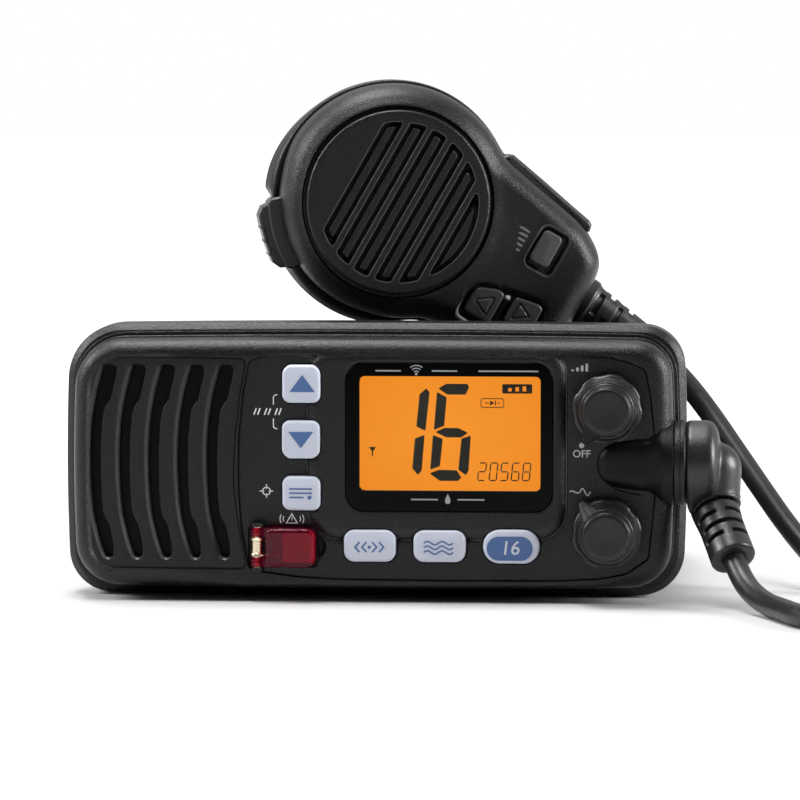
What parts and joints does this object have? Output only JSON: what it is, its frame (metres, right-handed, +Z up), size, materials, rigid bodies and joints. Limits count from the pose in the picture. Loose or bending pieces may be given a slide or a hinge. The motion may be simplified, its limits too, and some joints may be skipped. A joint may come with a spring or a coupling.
{
  "type": "marine vhf radio with hand microphone",
  "caption": "Panel-mount style marine radio set with an amber display, rubber keys, rotary knobs, a guarded distress key and a corded hand microphone stored on a hanger.",
  "frame": {"origin": "on the surface that the radio stands on, under the middle of the radio without its cord and plug", "axes": "+Z up, the front panel faces -Y, +X towards the plug side, which is on the right seen from the front"},
  "size_m": [0.2628, 0.2076, 0.1277],
  "materials": {
    "moulded_black": "fine sparked texture, satin",
    "knob_black": "satin",
    "rubber_black": "matte",
    "cord_black": "satin jacket",
    "window_black": "polished",
    "lcd_amber": "lit from behind",
    "light_guide": "clear",
    "key_white": "translucent white",
    "key_grey": "satin",
    "flap_red": "clear red",
    "key_red": "moulded red",
    "pin_brass": "turned",
    "mat_silicone": "matte",
    "board_green": "solder mask",
    "cloth_black": "woven",
    "speaker_metal": "plated",
    "cone_paper": "coated",
    "chassis_cast": "black powder coat",
    "screw_steel": "plated",
    "plated_metal": "nickel",
    "insulator_white": "moulded"
  },
  "bodies": {
    "radio": {"front_panel": "moulded_black", "front_gasket": "rubber_black", "flange_frame": "moulded_black", "display_window": "window_black", "lcd_glass": "lcd_amber", "lcd_light_guide": "light_guide", "flap_hinge_pin": "pin_brass", "key_mat": "mat_silicone", "front_board": "board_green", "potentiometers": "plated_metal", "shaft_seals": "rubber_black", "speaker_cloth": "cloth_black", "speaker_gasket": "rubber_black", "loudspeaker": "speaker_metal", "speaker_cone": "cone_paper", "plug_collar": "moulded_black", "plug_elbow": "rubber_black", "plug_boot": "rubber_black", "rear_chassis": "chassis_cast", "chassis_gasket": "rubber_black", "case_screws": "screw_steel", "main_board": "board_green", "board_screws": "screw_steel", "shield_can": "plated_metal", "power_amplifier": "plated_metal", "ribbon_cable": "insulator_white", "antenna_connector": "plated_metal", "antenna_insulator": "insulator_white", "lead_glands": "rubber_black", "mic_hanger": "moulded_black", "hanger_screws": "screw_steel", "cord_plug_lead": "cord_black", "cord_mic_lead": "cord_black", "cord_coil": "cord_black"},
    "key_channel_up": {"key_channel_up": "key_white"},
    "key_channel_down": {"key_channel_down": "key_white"},
    "key_menu": {"key_menu": "key_white"},
    "key_scan": {"key_scan": "key_white"},
    "key_dual": {"key_dual": "key_white"},
    "key_sixteen": {"key_sixteen": "key_white"},
    "distress_key": {"distress_key": "key_red"},
    "mic_power_key": {"mic_power_key": "key_grey"},
    "mic_up_key": {"mic_up_key": "key_grey"},
    "mic_down_key": {"mic_down_key": "key_grey"},
    "ptt_key": {"ptt_key": "rubber_black"},
    "flap": {"distress_flap": "flap_red"},
    "volume": {"volume_knob": "knob_black", "volume_shaft": "pin_brass"},
    "squelch": {"squelch_knob": "knob_black", "squelch_shaft": "pin_brass"},
    "microphone": {"mic_front_shell": "moulded_black", "mic_rear_shell": "moulded_black", "mic_screws": "screw_steel", "mic_grille": "moulded_black", "mic_cloth": "cloth_black", "mic_element": "speaker_metal", "mic_board": "board_green", "mic_side_pad": "rubber_black", "mic_stud": "screw_steel", "mic_boot": "rubber_black"}
  },
  "joints": [
    {"name": "channel_up_press", "type": "slide", "parent": "radio", "child": "key_channel_up", "axis": [0, 1, 0], "range_m": [0, 0.001], "stiffness_N_per_m": 400, "springref_m": -0.003},
    {"name": "channel_down_press", "type": "slide", "parent": "radio", "child": "key_channel_down", "axis": [0, 1, 0], "range_m": [0, 0.001], "stiffness_N_per_m": 400, "springref_m": -0.003},
    {"name": "menu_press", "type": "slide", "parent": "radio", "child": "key_menu", "axis": [0, 1, 0], "range_m": [0, 0.001], "stiffness_N_per_m": 400, "springref_m": -0.003},
    {"name": "scan_press", "type": "slide", "parent": "radio", "child": "key_scan", "axis": [0, 1, 0], "range_m": [0, 0.001], "stiffness_N_per_m": 400, "springref_m": -0.003},
    {"name": "dual_press", "type": "slide", "parent": "radio", "child": "key_dual", "axis": [0, 1, 0], "range_m": [0, 0.001], "stiffness_N_per_m": 400, "springref_m": -0.003},
    {"name": "sixteen_press", "type": "slide", "parent": "radio", "child": "key_sixteen", "axis": [0, 1, 0], "range_m": [0, 0.001], "stiffness_N_per_m": 400, "springref_m": -0.003},
    {"name": "distress_press", "type": "slide", "parent": "radio", "child": "distress_key", "axis": [0, 1, 0], "range_m": [0, 0.001], "stiffness_N_per_m": 400, "springref_m": -0.003},
    {"name": "flap_hinge", "type": "hinge", "parent": "radio", "child": "flap", "pos_m": [-0.028, -0.0634, 0.0137], "axis": [0, 0, -1], "range_deg": [0, 115], "stiffness_Nm_per_rad": 0.002, "springref_deg": -20.05},
    {"name": "volume_turn", "type": "hinge", "parent": "radio", "child": "volume", "pos_m": [0.0577, -0.068, 0.0481], "axis": [0, 1, 0], "range_deg": [0, 300]},
    {"name": "squelch_turn", "type": "hinge", "parent": "radio", "child": "squelch", "pos_m": [0.0577, -0.068, 0.0176], "axis": [0, 1, 0], "range_deg": [-105, 195]},
    {"name": "mic_lift", "type": "slide", "parent": "radio", "child": "microphone", "axis": [0, 0, 1], "range_m": [0, 0.025]},
    {"name": "ptt_press", "type": "slide", "parent": "microphone", "child": "ptt_key", "axis": [0.9481, 0.1587, 0.2756], "range_m": [0, 0.002], "stiffness_N_per_m": 600, "springref_m": -0.003},
    {"name": "mic_power_press", "type": "slide", "parent": "microphone", "child": "mic_power_key", "axis": [-0.165, 0.9863, 0], "range_m": [0, 0.0008], "stiffness_N_per_m": 400, "springref_m": -0.003},
    {"name": "mic_up_press", "type": "slide", "parent": "microphone", "child": "mic_up_key", "axis": [-0.165, 0.9863, 0], "range_m": [0, 0.0008], "stiffness_N_per_m": 400, "springref_m": -0.003},
    {"name": "mic_down_press", "type": "slide", "parent": "microphone", "child": "mic_down_key", "axis": [-0.165, 0.9863, 0], "range_m": [0, 0.0008], "stiffness_N_per_m": 400, "springref_m": -0.003}
  ]
}
